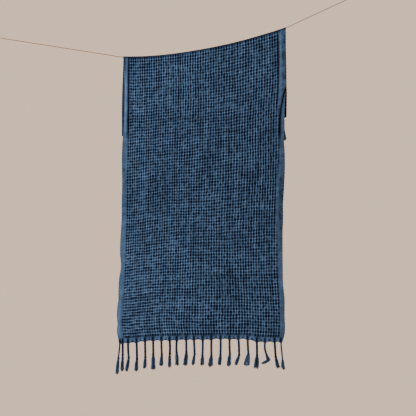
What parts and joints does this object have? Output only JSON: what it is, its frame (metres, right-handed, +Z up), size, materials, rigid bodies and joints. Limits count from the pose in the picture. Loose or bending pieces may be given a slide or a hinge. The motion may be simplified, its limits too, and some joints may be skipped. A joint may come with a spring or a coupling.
{
  "type": "waffle tea towel on a string line",
  "caption": "Fringed waffle-weave tea towel folded over a taut string line, long panel in front and short panel behind.",
  "frame": {"origin": "middle of the loop at the string line's left end, where a hook holds it", "axes": "+X along the line to the right as seen from the front, +Y from the front panel towards the back panel, +Z up"},
  "size_m": [1.0599, 0.0282, 1.0546],
  "materials": {
    "waffle_cotton": "matt blue waffle-weave cotton with plain-woven side bands",
    "fringe_cotton": "twisted cotton yarn, dark blue",
    "string": "twisted natural string, tan"
  },
  "bodies": {
    "root": {"towel": "waffle_cotton", "front_fringe": "fringe_cotton", "back_fringe": "fringe_cotton", "line": "string", "left_loop": "string", "right_loop": "string"}
  },
  "joints": []
}
